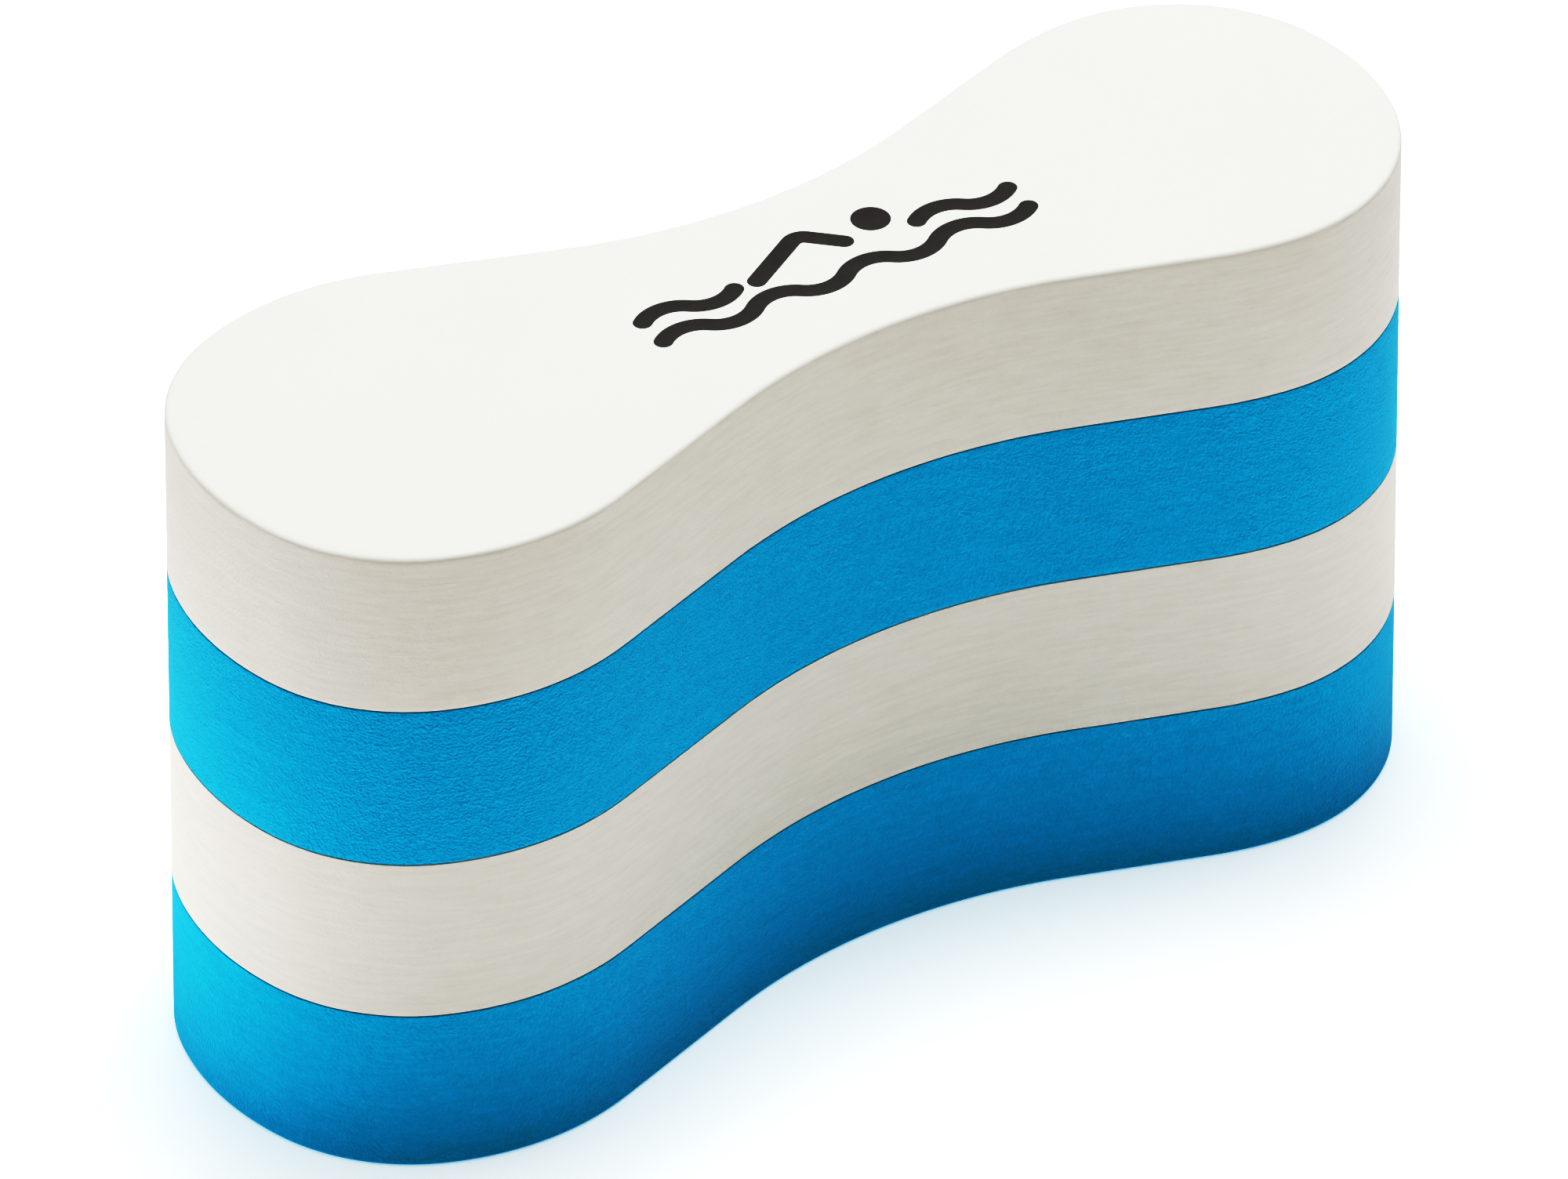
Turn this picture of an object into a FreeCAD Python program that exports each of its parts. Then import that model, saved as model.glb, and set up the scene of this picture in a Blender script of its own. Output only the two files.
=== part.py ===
"""A pull buoy: four layers of closed-cell foam glued into a block with a figure-eight outline.

The buoy stands on its bottom layer. X runs along its length with the big lobe towards -X, Y across the
thighs' sides, and Z up through the stack. The origin is the middle of the bounding box, on the base.
Lengths are in millimetres and angles in degrees.
"""

import FreeCAD, Part
import os
from collections import namedtuple
from math import cos, radians, sin

# The stack
HEIGHT = 136.0
LAYER_NAMES = ("bottom_blue_layer", "lower_white_layer", "upper_blue_layer", "top_white_layer")
GLUE_NAMES = ("bottom_glue_film", "middle_glue_film", "top_glue_film")
GLUE_THICKNESS = 0.25
GLUE_INSET = 0.8  # the glue stops short of the cut wall
FOAM_THICKNESS = (HEIGHT - len(GLUE_NAMES) * GLUE_THICKNESS) / len(LAYER_NAMES)
OUTER_ROUND = 1.2  # top edge of the top layer and bottom edge of the bottom layer
JOINT_ROUND = 0.3  # edges where one layer meets the next

# The outline. Each lobe starts at its tip with a flat arc, turns its corner with a tighter arc, and
# comes back along a side arc and a straight flank, which leans in by flank_angle to the waist arc.
Lobe = namedtuple("Lobe", "tip_radius tip_turn corner_radius corner_turn side_radius flank_angle")
BIG_LOBE = Lobe(58.0, 16.5, 37.5, 51.0, 52.5, 20.0)
SMALL_LOBE = Lobe(48.0, 16.5, 37.5, 78.0, 62.5, 18.5)
WAIST_WIDTH = 46.0
WAIST_RADIUS = 112.0

# The printed mark: a swimmer between waves, read from the -Y side
INK_DEPTH = 0.2  # the print lies flush in the face
INK_STROKE = 3.6
MARK_START = -31.0
MARK_LENGTH = 79.0
HALF_WAVES = 8
WAVE_TURN = 80.0  # from the steepest way up to the steepest way down
LOW_WAVE_Y = -5.6
HIGH_WAVE_Y = 1.4
HIGH_WAVE_HALVES = 2  # at each end of the mark
HIP = FreeCAD.Vector(-6.5, 1.2, 0)
BACK_SLOPE = 31.0
BACK_LENGTH = 14.0
SHOULDER_RADIUS = 2.6
ARM_SLOPE = -44.0
ARM_LENGTH = 7.0
HEAD_CENTRE = FreeCAD.Vector(21.6, 6.6, 0)
HEAD_RADIUS = 3.7


def heading_vector(heading):
    """The unit vector at heading, measured from +X towards +Y."""
    return FreeCAD.Vector(cos(radians(heading)), sin(radians(heading)), 0)


class Path:
    """A chain of tangent arcs and lines in the XY plane."""

    def __init__(self, start, heading):
        self.end = start
        self.heading = heading
        self.edges = []

    def arc(self, radius, turn):
        """Goes on by an arc that turns left by turn, or right if turn is negative."""
        to_centre = heading_vector(self.heading + (90 if turn > 0 else -90)) * radius
        centre = self.end + to_centre
        turned = FreeCAD.Rotation(FreeCAD.Vector(0, 0, 1), turn / 2)
        middle = centre - turned.multVec(to_centre)
        last = centre - turned.multVec(turned.multVec(to_centre))
        self.edges.append(Part.Arc(self.end, middle, last).toShape())
        self.end = last
        self.heading += turn

    def line(self, length):
        last = self.end + heading_vector(self.heading) * length
        self.edges.append(Part.makeLine(self.end, last))
        self.end = last


def quarter_outline(lobe):
    """The upper side of a lobe, from its tip at the origin to the narrowest point of the waist."""
    path = Path(FreeCAD.Vector(0, 0, 0), 90)
    path.arc(lobe.tip_radius, -lobe.tip_turn)
    path.arc(lobe.corner_radius, -lobe.corner_turn)
    path.arc(lobe.side_radius, -(path.heading + lobe.flank_angle))
    flank_foot_y = WAIST_WIDTH / 2 + WAIST_RADIUS * (1 - cos(radians(lobe.flank_angle)))
    path.line((path.end.y - flank_foot_y) / sin(radians(lobe.flank_angle)))
    path.arc(WAIST_RADIUS, lobe.flank_angle)
    return path


def outline_face():
    """The figure-eight face on the XY plane, centred on its bounding box."""
    big = quarter_outline(BIG_LOBE)
    small = quarter_outline(SMALL_LOBE)
    half_length = (big.end.x + small.end.x) / 2
    upper_big = Part.makeCompound(big.edges)
    upper_big.translate(FreeCAD.Vector(-half_length, 0, 0))
    upper_small = Part.makeCompound(small.edges).mirror(FreeCAD.Vector(0, 0, 0), FreeCAD.Vector(1, 0, 0))
    upper_small.translate(FreeCAD.Vector(half_length, 0, 0))
    upper = Part.makeCompound([upper_big, upper_small])
    lower = upper.mirror(FreeCAD.Vector(0, 0, 0), FreeCAD.Vector(0, 1, 0))
    return Part.Face(Part.Wire(Part.sortEdges(upper.Edges + lower.Edges)[0]))


def raised(face, bottom, thickness):
    """The solid between the heights bottom and bottom + thickness."""
    base = face.copy()
    base.translate(FreeCAD.Vector(0, 0, bottom))
    return base.extrude(FreeCAD.Vector(0, 0, thickness))


def edges_at(solid, height):
    """The edges that lie flat at a height."""
    flat = 1e-6
    boxes = [(edge, edge.BoundBox) for edge in solid.Edges]
    return [edge for edge, box in boxes if abs(box.ZMin - height) < flat and abs(box.ZMax - height) < flat]


def foam_layer(face, bottom, bottom_round, top_round):
    layer = raised(face, bottom, FOAM_THICKNESS)
    layer = layer.makeFillet(bottom_round, edges_at(layer, bottom))
    return layer.makeFillet(top_round, edges_at(layer, bottom + FOAM_THICKNESS))


def glue_film(face, bottom):
    return raised(face.makeOffset2D(-GLUE_INSET), bottom, GLUE_THICKNESS)


def stroke(path):
    """The face that a round pen of the stroke's width covers along a path."""
    return Part.Face(Part.Wire(path.edges).makeOffset2D(INK_STROKE / 2, openResult=False))


def wave(start_x, half_waves, y):
    """A wavy stroke of half waves, each a single arc, which starts upwards."""
    chord = MARK_LENGTH / HALF_WAVES
    radius = chord / 2 / sin(radians(WAVE_TURN / 2))
    path = Path(FreeCAD.Vector(start_x, y, 0), WAVE_TURN / 2)
    for half in range(half_waves):
        path.arc(radius, -WAVE_TURN if half % 2 == 0 else WAVE_TURN)
    return stroke(path)


def swimmer():
    """The swimmer's back and reaching arm in one bent stroke, and the head."""
    body = Path(HIP, BACK_SLOPE)
    body.line(BACK_LENGTH)
    body.arc(SHOULDER_RADIUS, ARM_SLOPE - BACK_SLOPE)
    body.line(ARM_LENGTH)
    head = Part.Face(Part.Wire(Part.makeCircle(HEAD_RADIUS, HEAD_CENTRE)))
    return [stroke(body), head]


def ink_faces():
    high_right_start = MARK_START + MARK_LENGTH * (1 - HIGH_WAVE_HALVES / HALF_WAVES)
    waves = [
        wave(MARK_START, HALF_WAVES, LOW_WAVE_Y),
        wave(MARK_START, HIGH_WAVE_HALVES, HIGH_WAVE_Y),
        wave(high_right_start, HIGH_WAVE_HALVES, HIGH_WAVE_Y),
    ]
    return waves + swimmer()


def build():
    """All the sub-parts by node name."""
    face = outline_face()
    pitch = FOAM_THICKNESS + GLUE_THICKNESS
    nodes = {}
    for level, name in enumerate(LAYER_NAMES):
        bottom_round = OUTER_ROUND if level == 0 else JOINT_ROUND
        top_round = OUTER_ROUND if level == len(GLUE_NAMES) else JOINT_ROUND
        nodes[name] = foam_layer(face, level * pitch, bottom_round, top_round)
    for level, name in enumerate(GLUE_NAMES):
        nodes[name] = glue_film(face, level * pitch + FOAM_THICKNESS)
    ink = Part.makeCompound([raised(f, HEIGHT - INK_DEPTH, INK_DEPTH) for f in ink_faces()])
    nodes["top_white_layer"] = nodes["top_white_layer"].cut(ink)
    nodes["printed_mark"] = ink
    return nodes


os.makedirs("parts", exist_ok=True)
for node, shape in build().items():
    shape.exportStep(f"parts/{node}.step")
    print(node, len(shape.Solids), "solids,", round(shape.Volume), "mm3")
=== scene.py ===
import math
import random

import bmesh
import bpy
import numpy as np
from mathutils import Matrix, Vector, noise


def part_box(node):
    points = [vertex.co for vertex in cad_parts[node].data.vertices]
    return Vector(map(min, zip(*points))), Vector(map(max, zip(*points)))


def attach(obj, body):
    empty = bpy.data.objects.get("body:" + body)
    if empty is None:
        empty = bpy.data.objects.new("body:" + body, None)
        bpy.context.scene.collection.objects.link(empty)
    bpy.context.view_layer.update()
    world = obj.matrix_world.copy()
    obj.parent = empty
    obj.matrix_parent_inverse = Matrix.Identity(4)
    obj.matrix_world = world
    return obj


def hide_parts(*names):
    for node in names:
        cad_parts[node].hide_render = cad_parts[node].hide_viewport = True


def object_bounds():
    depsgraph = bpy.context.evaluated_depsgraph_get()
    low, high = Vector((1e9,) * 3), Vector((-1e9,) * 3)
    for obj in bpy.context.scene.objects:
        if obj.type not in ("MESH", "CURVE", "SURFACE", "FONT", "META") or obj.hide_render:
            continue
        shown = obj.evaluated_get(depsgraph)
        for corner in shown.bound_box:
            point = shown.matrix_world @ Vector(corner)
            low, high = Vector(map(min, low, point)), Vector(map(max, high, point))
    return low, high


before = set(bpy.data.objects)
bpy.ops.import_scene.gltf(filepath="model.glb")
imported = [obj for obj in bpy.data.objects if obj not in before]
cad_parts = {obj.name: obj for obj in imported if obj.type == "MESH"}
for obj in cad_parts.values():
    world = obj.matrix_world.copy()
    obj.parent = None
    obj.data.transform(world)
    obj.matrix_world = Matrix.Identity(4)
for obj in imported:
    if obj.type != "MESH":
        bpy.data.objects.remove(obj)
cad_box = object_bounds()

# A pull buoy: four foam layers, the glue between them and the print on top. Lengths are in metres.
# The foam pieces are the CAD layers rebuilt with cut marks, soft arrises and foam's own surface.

MM = 0.001

# Foam walls
COLUMN_STEP = 0.65 * MM  # spacing of mesh points round the wall
WALL_SMOOTHING = 1.6 * MM  # rounds off the chords of the CAD wall
CUT_PITCH = (0.42 * MM, 0.85 * MM)  # spacing of the cutting wire's marks up the wall
CUT_DEPTH = 0.012 * MM
CUT_SIDE = 0.5  # part of that by which a whole mark stands in or out
CUT_WANDER = 0.035  # length along the wall over which a mark fades in and out
WALL_WAVE = 0.06 * MM  # slow waviness of the cut
WALL_WAVE_LENGTH = 0.03
ARRIS_STEPS = 5
OUTER_ROUND = 1.0 * MM
JOINT_ROUND = 0.12 * MM
RIM = 3.0 * MM  # flat ring between an arris and the cap
WELD = 0.001 * MM

# Glue
GLUE_SQUEEZE = 0.6 * MM  # how far the glue has spread out past its CAD edge
GLUE_WANDER = 0.12 * MM
GLUE_LUMP_LENGTH = 0.006

# Print
INK_RISE = 0.03 * MM
INK_EDGE = 0.12 * MM
INK_STEP = 0.25 * MM
INK_SMOOTHING = 0.12 * MM

# Foam material
# The white walls' colour is darker than the white skin partly for the greyer cut cells and partly as painted
# shade on the walls.
WHITE_CUT_WITH_SHADE = (0.688, 0.662, 0.615)
WHITE_SKIN = (0.92, 0.93, 0.87)
BLUE_CUT = (0.0, 0.462, 0.668)
BLUE_SKIN = (0.0, 0.475, 0.68)
MARK_SCALE = (110, 110, 1050)  # cutting marks are long and level
MARK_WAVINESS = 0.4
CELL_SIZE = 0.5 * MM
GRAIN_SIZE = 0.3 * MM
MOTTLE_SIZE = 30 * MM
MARK_DETAIL = 4.0
GRAIN_DETAIL = 2.0
MOTTLE_DETAIL = 3.0
# tone of the cutting marks, tone of the cells, depth of the cells
WHITE_TEXTURE = (0.14, 0.01, 0.04 * MM)
BLUE_TEXTURE = (0.14, 0.05, 0.2 * MM)
MOTTLE_TONE = 0.03
MARK_RELIEF = 0.05 * MM
GRAIN_RELIEF = 0.02 * MM
SKIN_RELIEF = 0.25
CUT_ROUGHNESS = 0.75
SKIN_ROUGHNESS = 0.55
ROUGHNESS_GRAIN = 0.1
SKIN_SLOPE = (0.2, 0.8)  # how level a surface is where skin begins and where it is whole
FOAM_IOR = 1.45
SHEEN = 0.1
SPECULAR_LEVEL = 0.15
SHEEN_ROUGHNESS = 0.25

# Ink and glue
INK_COLOUR = (0.095, 0.088, 0.083)
# The glue film is real, but its grey is painted shade of the seams between the layers.
GLUE_SEAM_SHADE_COLOUR = (0.42, 0.46, 0.45)
PATCH_SIZE = 3 * MM
SPECK_DETAIL = 3.0
PATCH_DETAIL = 2.0
COAT_ROUGHNESS_SPREAD = 0.2
# roughness, strength of the specks
INK_FINISH = (0.55, 0.5)
GLUE_FINISH = (0.5, 0.3)

# Floor, light and camera
FLOOR_HALF = 20.0
FLOOR_LEVEL = -0.05 * MM  # just under the base
FLOOR_COLOUR = (0.95, 0.95, 0.95)
SKY_LIGHT = 0.02  # the sky is white to look at and gives almost no light
# The floor is a lit table: its glow is dimmed beside the foam as a painted shadow, raised in a band round it
# as a painted pool of light, and even beyond.
PAINTED_SHADOW_GLOW = 0.35
PAINTED_LIGHT_GLOW = 1.2
TABLE_GLOW = 0.5
BAND_START = 0.07  # distances are from the foam
BAND_END = 0.15
BAND_FADE = 0.03
HORIZON_START = 1.0
HORIZON_END = 1.6  # from here the table is as white as the sky
# The foam's footprint for that, as two equal lobes and the strip between them
LOBE_CENTRE = 0.08
LOBE_RADIUS = 0.044
# name, azimuth, elevation, distance, width, height, watts
LIGHTS = (
    ("overhead", 0, 88, 1.6, 1.6, 1.6, 15),
    ("back", 147, 78, 1.6, 0.6, 0.6, 10),
    ("right", 90, 25, 1.5, 0.8, 1.0, 2.5),
    ("left", -110, 12, 0.8, 0.4, 0.4, 0.5),
    ("left_strip", -110, -12, 0.22, 0.2, 0.04, 0.05),
    ("right_strip", 85, -12, 0.24, 0.15, 0.04, 0.01),
)
COMBINED_CURVE = 3  # the curve after those of red, green and blue
TONE_CURVE = ((0, 0), (0.12, 0.03), (0.25, 0.1), (0.4, 0.34), (0.55, 0.62), (0.75, 0.83), (1, 1))
TARGET = sum(cad_box, Vector()) / 2 + Vector((-3.1, -2.6, 0)) * MM
CAMERA_FROM = (-32.854, 35.782)  # azimuth and elevation in degrees
CAMERA_DISTANCE = 4.991
CAMERA_LENS = 626.5  # in the millimetres of a lens, on a film 36 wide
FILM_WIDTH = 36.0
CAMERA_REACH = 100.0

LAYERS = ("bottom_blue_layer", "lower_white_layer", "upper_blue_layer", "top_white_layer")
GLUES = ("bottom_glue_film", "middle_glue_film", "top_glue_film")

scene = bpy.context.scene
random.seed(7)


def link(name, mesh):
    made = bpy.data.objects.new(name, mesh)
    scene.collection.objects.link(made)
    return made


def outlines(node, step, smoothing):
    """For each separate outline of a CAD node at its mid-height, evenly spaced points and outward normals."""
    low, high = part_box(node)
    bm = bmesh.new()
    bm.from_mesh(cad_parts[node].data)
    bmesh.ops.remove_doubles(bm, verts=bm.verts, dist=WELD)
    everything = bm.verts[:] + bm.edges[:] + bm.faces[:]
    middle = (low + high) / 2
    bmesh.ops.bisect_plane(
        bm, geom=everything, plane_co=middle, plane_no=(0, 0, 1), clear_inner=True, clear_outer=True
    )
    bmesh.ops.remove_doubles(bm, verts=bm.verts, dist=WELD)
    seen = set()
    found = []
    for start in sorted(bm.verts, key=lambda v: tuple(v.co)):
        if start not in seen:
            found.append(smooth_loop(walk(start, seen), step, smoothing))
    bm.free()
    return found


def walk(start, seen):
    """The points of a closed chain of edges, anticlockwise from start."""
    points = []
    vert, edge = start, start.link_edges[0]
    while vert not in seen:
        seen.add(vert)
        points.append(vert.co.xy)
        vert = edge.other_vert(vert)
        edge = next(e for e in vert.link_edges if e is not edge)
    points = np.array(points)
    after = np.roll(points, -1, axis=0)
    doubled_area = np.sum(points[:, 0] * after[:, 1] - points[:, 1] * after[:, 0])
    return points if doubled_area > 0 else np.roll(points[::-1], 1, axis=0)


def smooth_loop(corners, step, smoothing):
    """The closed polygon resampled at even steps, and rounded so that its chords don't show."""
    closed = np.vstack([corners, corners[:1]])
    along = np.concatenate([[0], np.cumsum(np.hypot(*np.diff(closed, axis=0).T))])
    count = round(along[-1] / step)
    places = np.arange(count) * along[-1] / count
    points = np.stack([np.interp(places, along, closed[:, i]) for i in (0, 1)], axis=1)
    frequency = np.fft.fftfreq(count, along[-1] / count)
    keep = np.exp(-2 * (math.pi * smoothing * frequency) ** 2)[:, None]
    points = np.fft.ifft(np.fft.fft(points, axis=0) * keep, axis=0).real
    tangents = np.roll(points, -1, axis=0) - np.roll(points, 1, axis=0)
    tangents /= np.hypot(*tangents.T)[:, None]
    normals = np.stack([tangents[:, 1], -tangents[:, 0]], axis=1)
    return points, normals


def stacked_mesh(name, points, normals, rows):
    """A closed mesh of rows, each the outline pushed in by an inset at a height, with flat caps."""
    count = len(points)
    verts = []
    for inset, height in rows:
        ring = points - normals * np.broadcast_to(inset, count)[:, None]
        verts.append(np.column_stack([ring, np.broadcast_to(height, count)]))
    faces = [tuple(reversed(range(count)))]
    for start in range(0, count * (len(rows) - 1), count):
        for i in range(count):
            j = (i + 1) % count
            faces.append((start + i, start + j, start + count + j, start + count + i))
    faces.append(tuple(range(count * (len(rows) - 1), count * len(rows))))
    mesh = bpy.data.meshes.new(name)
    mesh.from_pydata(np.vstack(verts).tolist(), [], faces)
    mesh.shade_smooth()
    return link(name, mesh)


def arris(radius, height, upward):
    """Rows of a quarter-round edge from the flat face to the wall, as (inset, height)."""
    rows = []
    for step in range(ARRIS_STEPS + 1):
        angle = math.pi / 2 * step / ARRIS_STEPS
        rows.append((radius * (1 - math.sin(angle)), height + upward * radius * (1 - math.cos(angle))))
    return rows


def foam_layer(node, level):
    """A foam layer with soft arrises, and a wall with the fine level marks of the wire that cut it."""
    low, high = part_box(node)
    points, normals = outlines(node, COLUMN_STEP, WALL_SMOOTHING)[0]
    bottom_round = OUTER_ROUND if level == 0 else JOINT_ROUND
    top_round = OUTER_ROUND if level == len(LAYERS) - 1 else JOINT_ROUND
    rows = [(RIM, low.z), (RIM / 2, low.z)] + arris(bottom_round, low.z, 1)
    height = low.z + bottom_round
    while height < high.z - top_round - CUT_PITCH[1]:
        height += random.uniform(*CUT_PITCH)
        side = random.choice((-1, 1))
        here = [Vector((p[0], p[1], height)) for p in points]
        marks = np.array([noise.noise(p / CUT_WANDER + Vector((0, 0, height / MM))) for p in here])
        waves = np.array([noise.noise(p / WALL_WAVE_LENGTH) for p in here])
        rows.append((CUT_DEPTH * (side * CUT_SIDE + marks) + WALL_WAVE * waves, height))
    rows += arris(top_round, high.z, -1)[::-1] + [(RIM / 2, high.z), (RIM, high.z)]
    piece = stacked_mesh("foam_" + node, points, normals, rows)
    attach(piece, "root")
    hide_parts(node)
    return piece


def glue_film(node):
    """The dried glue, whose edge wanders along the groove just inside the wall."""
    low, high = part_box(node)
    points, normals = outlines(node, COLUMN_STEP, WALL_SMOOTHING)[0]
    lumps = [noise.noise(Vector((p[0], p[1], low.z)) / GLUE_LUMP_LENGTH) for p in points]
    edge = GLUE_WANDER * np.array(lumps) - GLUE_SQUEEZE
    half = (high.z - low.z) / 2
    rows = [(edge + half, low.z), (edge, low.z + half), (edge + half, high.z)]
    piece = stacked_mesh("dried_" + node, points, normals, rows)
    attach(piece, "root")
    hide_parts(node)
    return piece


def ink_film():
    """The print: a thin film on the top face, a body for each of its separate shapes."""
    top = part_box("printed_mark")[1].z
    rows = [(0, top), (0, top + INK_RISE / 2), (INK_EDGE, top + INK_RISE)]
    bodies = []
    for points, normals in outlines("printed_mark", INK_STEP, INK_SMOOTHING):
        bodies.append(stacked_mesh("ink_film", points, normals, rows))
    with bpy.context.temp_override(active_object=bodies[0], selected_editable_objects=bodies):
        bpy.ops.object.join()
    piece = bodies[0]
    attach(piece, "root")
    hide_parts("printed_mark")
    return piece


def shader(tree, kind, inputs=None, **settings):
    """A new shader node with its settings, and its inputs set to values or linked from sockets."""
    made = tree.nodes.new("ShaderNode" + kind)
    for name, value in settings.items():
        setattr(made, name, value)
    for name, value in (inputs or {}).items():
        if isinstance(value, bpy.types.NodeSocket):
            tree.links.new(value, made.inputs[name])
        else:
            made.inputs[name].default_value = value
    return made


def maths(tree, operation, *inputs):
    return shader(tree, "Math", dict(enumerate(inputs)), operation=operation).outputs[0]


def new_material(name):
    material = bpy.data.materials.new(name)
    material.use_nodes = True
    tree = material.node_tree
    tree.nodes.clear()
    return material, tree


def variation(tree, factors):
    """1 plus each pattern, centred on zero, times its weight."""
    total = 1.0
    for pattern, weight in factors:
        total = maths(tree, "MULTIPLY_ADD", maths(tree, "SUBTRACT", pattern, 0.5), weight, total)
    return total


def cloud(tree, place, size, detail):
    """A soft random pattern from 0 to 1, with features of about this size."""
    return shader(tree, "TexNoise", {"Vector": place, "Scale": 1 / size, "Detail": detail}).outputs[0]


def foam_material(name, cut_colour, skin_colour, texture):
    """Closed-cell foam: a moulded skin on level faces, and open cut cells with wire marks on the walls."""
    mark_tone, cell_tone, cell_depth = texture
    material, tree = new_material(name)
    place = shader(tree, "TexCoord").outputs["Object"]
    normal = shader(tree, "NewGeometry").outputs["Normal"]
    slope = maths(tree, "ABSOLUTE", shader(tree, "SeparateXYZ", {0: normal}).outputs["Z"])
    skin_range = {"Value": slope, "From Min": SKIN_SLOPE[0], "From Max": SKIN_SLOPE[1]}
    skin = shader(tree, "MapRange", skin_range).outputs[0]
    cut = maths(tree, "SUBTRACT", 1.0, skin)

    stretched = shader(tree, "Mapping", {"Vector": place, "Scale": MARK_SCALE}).outputs[0]
    mark_noise = {"Vector": stretched, "Scale": 1.0, "Detail": MARK_DETAIL, "Distortion": MARK_WAVINESS}
    marks = shader(tree, "TexNoise", mark_noise).outputs[0]
    cells = shader(tree, "TexVoronoi", {"Vector": place, "Scale": 1 / CELL_SIZE})
    cell_shade = shader(tree, "SeparateColor", {0: cells.outputs["Color"]}).outputs[0]
    grain = cloud(tree, place, GRAIN_SIZE, GRAIN_DETAIL)
    mottling = cloud(tree, place, MOTTLE_SIZE, MOTTLE_DETAIL)

    cut_marks = maths(tree, "MULTIPLY_ADD", maths(tree, "SUBTRACT", marks, 0.5), cut, 0.5)
    tone = variation(tree, [(cut_marks, mark_tone), (cell_shade, cell_tone), (mottling, MOTTLE_TONE)])
    # For the white foam the cut colour on the walls is partly painted shade, darker than the skin on level
    # faces.
    # When a Mix node mixes colours, its sockets 6 and 7 are A and B, and its output 2 is the result.
    colour = shader(tree, "Mix", data_type="RGBA")
    tree.links.new(skin, colour.inputs[0])
    colour.inputs[6].default_value = (*cut_colour, 1)
    colour.inputs[7].default_value = (*skin_colour, 1)
    toned = shader(tree, "VectorMath", {0: colour.outputs[2], "Scale": tone}, operation="SCALE").outputs[0]

    relief = maths(tree, "MULTIPLY", cells.outputs["Distance"], cell_depth)
    relief = maths(tree, "MULTIPLY_ADD", marks, MARK_RELIEF, relief)
    relief = maths(tree, "MULTIPLY_ADD", grain, GRAIN_RELIEF, relief)
    strength = maths(tree, "MULTIPLY_ADD", cut, 1 - SKIN_RELIEF, SKIN_RELIEF)
    bump = shader(tree, "Bump", {"Strength": strength, "Distance": 1.0, "Height": relief}).outputs[0]
    rough = maths(tree, "MULTIPLY_ADD", skin, SKIN_ROUGHNESS - CUT_ROUGHNESS, CUT_ROUGHNESS)
    rough = maths(tree, "MULTIPLY_ADD", maths(tree, "SUBTRACT", grain, 0.5), ROUGHNESS_GRAIN, rough)
    surface = shader(
        tree,
        "BsdfPrincipled",
        {
            "Base Color": toned,
            "Roughness": rough,
            "Normal": bump,
            "IOR": FOAM_IOR,
            "Specular IOR Level": SPECULAR_LEVEL,
            "Sheen Weight": SHEEN,
            "Sheen Roughness": SHEEN_ROUGHNESS,
        },
    )
    shader(tree, "OutputMaterial", {"Surface": surface.outputs[0]})
    return material


def coat_material(name, colour, finish):
    """Ink or glue: one colour with the foam's grain showing through as faint specks."""
    roughness, tone_weight = finish
    material, tree = new_material(name)
    place = shader(tree, "TexCoord").outputs["Object"]
    specks = cloud(tree, place, GRAIN_SIZE, SPECK_DETAIL)
    patches = cloud(tree, place, PATCH_SIZE, PATCH_DETAIL)
    tone = variation(tree, [(specks, tone_weight), (patches, tone_weight / 2)])
    plain = shader(tree, "CombineColor", {0: colour[0], 1: colour[1], 2: colour[2]}).outputs[0]
    toned = shader(tree, "VectorMath", {0: plain, "Scale": tone}, operation="SCALE").outputs[0]
    rough = maths(tree, "MULTIPLY_ADD", specks, COAT_ROUGHNESS_SPREAD, roughness - COAT_ROUGHNESS_SPREAD / 2)
    height = maths(tree, "MULTIPLY", specks, GRAIN_RELIEF)
    bump = shader(tree, "Bump", {"Strength": 1.0, "Distance": 1.0, "Height": height}).outputs[0]
    surface = shader(tree, "BsdfPrincipled", {"Base Color": toned, "Roughness": rough, "Normal": bump})
    shader(tree, "OutputMaterial", {"Surface": surface.outputs[0]})
    return material


def direction(azimuth, elevation):
    """The unit vector from the object towards a place. Azimuth 0 is -Y and 90 is +X, in degrees."""
    a, e = math.radians(azimuth), math.radians(elevation)
    return Vector((math.sin(a) * math.cos(e), -math.cos(a) * math.cos(e), math.sin(e)))


def floor_glow(tree):
    """The floor's glow, read from a ramp by the distance to a shape like the foam's footprint, with a painted
    shadow beside the foam and a painted band of light round it.
    """
    place = shader(tree, "SeparateXYZ", {0: shader(tree, "NewGeometry").outputs["Position"]})
    beyond = maths(tree, "SUBTRACT", maths(tree, "ABSOLUTE", place.outputs["X"]), LOBE_CENTRE)
    across = shader(tree, "CombineXYZ", {0: maths(tree, "MAXIMUM", beyond, 0.0), 1: place.outputs["Y"]})
    reach = shader(tree, "VectorMath", {0: across.outputs[0]}, operation="LENGTH").outputs["Value"]
    distance = maths(tree, "SUBTRACT", reach, LOBE_RADIUS)
    # The first stops are the painted shadow beside the foam, the next the painted band of light round it.
    stops = (
        (0, PAINTED_SHADOW_GLOW),
        (BAND_START - BAND_FADE, PAINTED_SHADOW_GLOW),
        (BAND_START, PAINTED_LIGHT_GLOW),
        (BAND_END, PAINTED_LIGHT_GLOW),
        (BAND_END + BAND_FADE, TABLE_GLOW),
        (HORIZON_START, TABLE_GLOW),
        (HORIZON_END, 1.0),
    )
    ramp = shader(tree, "ValToRGB", {0: maths(tree, "DIVIDE", distance, HORIZON_END)})
    elements = ramp.color_ramp.elements
    for reached, _ in stops[1:-1]:
        elements.new(reached / HORIZON_END)
    for element, (_, glow) in zip(elements, stops):
        element.color = (glow / PAINTED_LIGHT_GLOW,) * 3 + (1,)
    return maths(tree, "MULTIPLY", ramp.outputs[0], PAINTED_LIGHT_GLOW)


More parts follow.
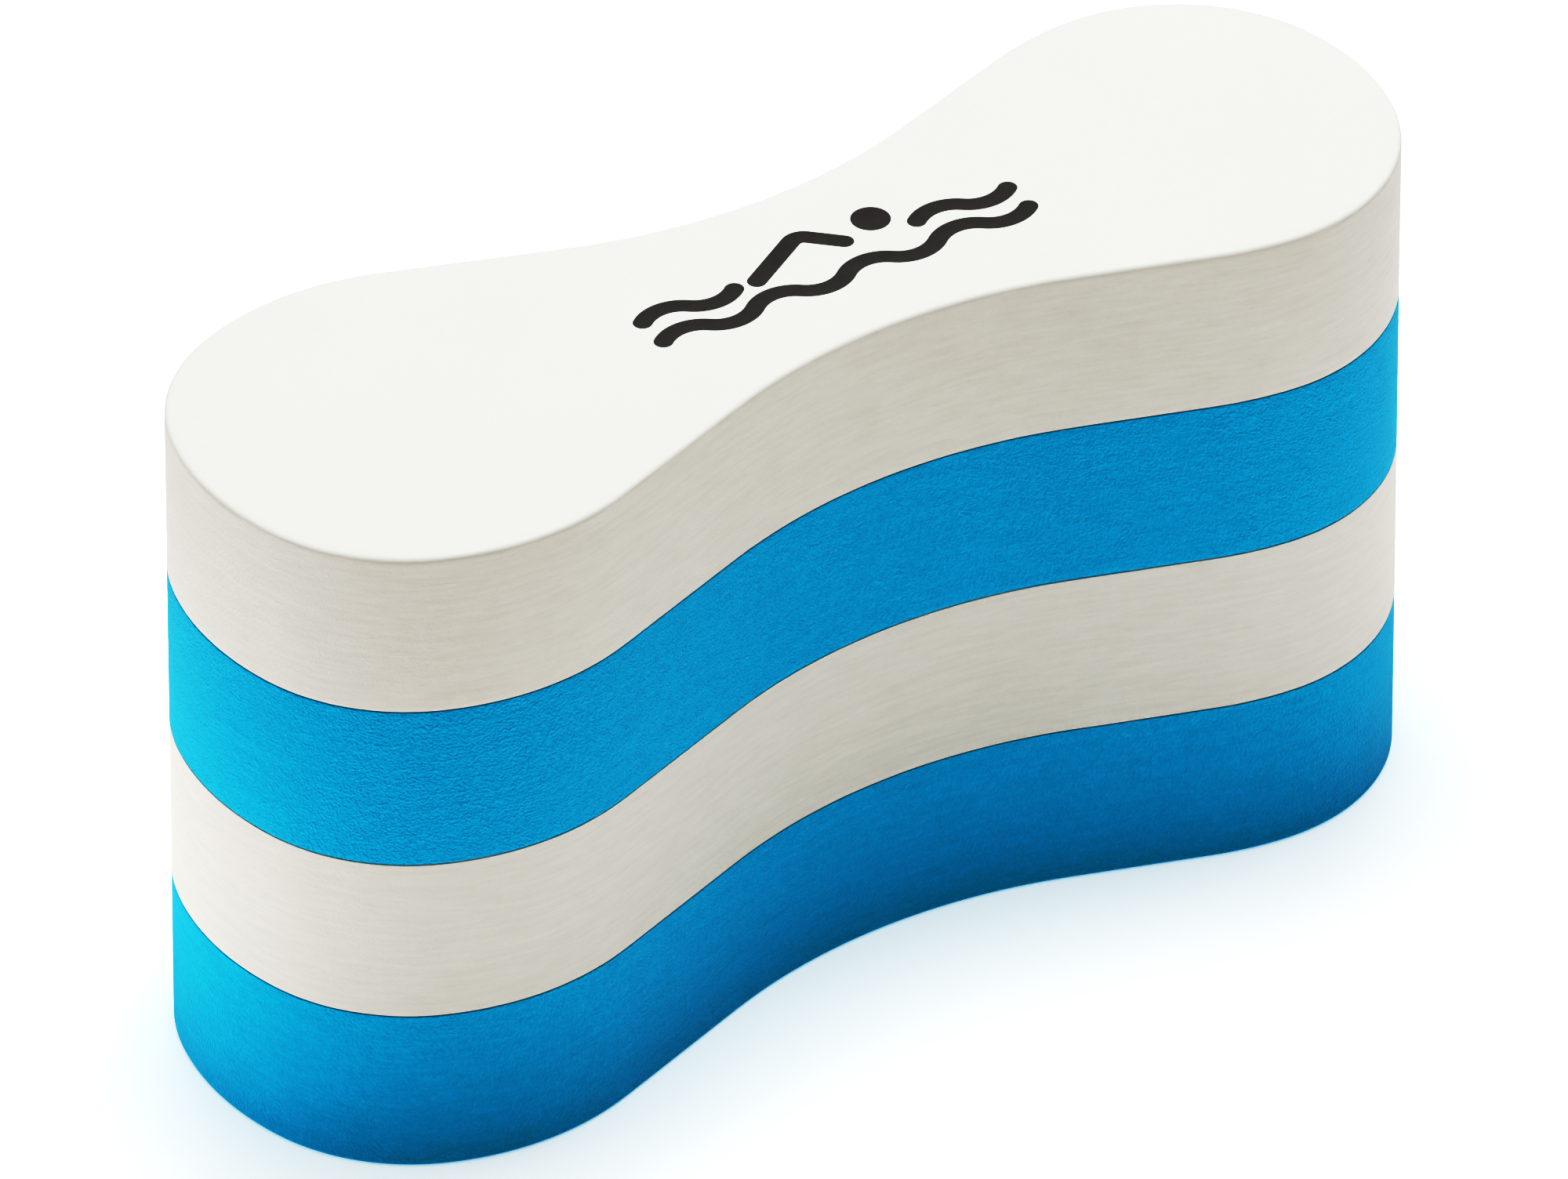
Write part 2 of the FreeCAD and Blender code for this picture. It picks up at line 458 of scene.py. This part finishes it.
def floor():
    mesh = bpy.data.meshes.new("floor")
    corners = [(x * FLOOR_HALF, y * FLOOR_HALF, FLOOR_LEVEL) for x, y in ((-1, -1), (1, -1), (1, 1), (-1, 1))]
    mesh.from_pydata(corners, [], [(0, 1, 2, 3)])
    material, tree = new_material("floor")
    matt = shader(tree, "BsdfDiffuse", {"Color": (*FLOOR_COLOUR, 1)}).outputs[0]
    glow = shader(tree, "Emission", {"Strength": floor_glow(tree)}).outputs[0]
    surface = shader(tree, "AddShader", {0: matt, 1: glow})
    shader(tree, "OutputMaterial", {"Surface": surface.outputs[0]})
    mesh.materials.append(material)
    link("floor", mesh)


def lights():
    world = bpy.data.worlds.new("studio")
    scene.world = world
    world.use_nodes = True
    seen = shader(world.node_tree, "LightPath").outputs["Is Camera Ray"]
    sky = world.node_tree.nodes["Background"]
    world.node_tree.links.new(maths(world.node_tree, "MAXIMUM", seen, SKY_LIGHT), sky.inputs["Color"])
    for name, azimuth, elevation, distance, width, height, watts in LIGHTS:
        data = bpy.data.lights.new(name, "AREA")
        data.shape = "RECTANGLE"
        data.size, data.size_y = width, height
        data.energy = watts
        light = bpy.data.objects.new(name, data)
        scene.collection.objects.link(light)
        towards = direction(azimuth, elevation)
        light.location = TARGET + towards * distance
        light.rotation_euler = towards.to_track_quat("Z", "Y").to_euler()
        light.visible_camera = False


def camera():
    data = bpy.data.cameras.new("camera")
    data.lens = CAMERA_LENS
    data.sensor_width = FILM_WIDTH
    data.clip_end = CAMERA_REACH
    made = bpy.data.objects.new("camera", data)
    scene.collection.objects.link(made)
    back = direction(*CAMERA_FROM)
    made.location = TARGET + back * CAMERA_DISTANCE
    made.rotation_euler = (-back).to_track_quat("-Z", "Y").to_euler()
    scene.camera = made


def tone_curve():
    """The photographic tone curve: deeper darks and a soft shoulder."""
    view = scene.view_settings
    view.view_transform = "Standard"
    view.use_curve_mapping = True
    points = view.curve_mapping.curves[COMBINED_CURVE].points
    for place, value in TONE_CURVE[1:-1]:
        points.new(place, value)
    view.curve_mapping.update()


def main():
    foams = {
        "white": foam_material("white_foam", WHITE_CUT_WITH_SHADE, WHITE_SKIN, WHITE_TEXTURE),
        "blue": foam_material("blue_foam", BLUE_CUT, BLUE_SKIN, BLUE_TEXTURE),
    }
    for level, node in enumerate(LAYERS):
        colour = "blue" if "blue" in node else "white"
        piece = foam_layer(node, level)
        piece.data.materials.append(foams[colour])
    # the glue's grey colour is painted shade of the seams
    glue = coat_material("glue", GLUE_SEAM_SHADE_COLOUR, GLUE_FINISH)
    for node in GLUES:
        glue_film(node).data.materials.append(glue)
    ink_film().data.materials.append(coat_material("black_ink", INK_COLOUR, INK_FINISH))
    floor()
    lights()
    camera()
    tone_curve()


main()
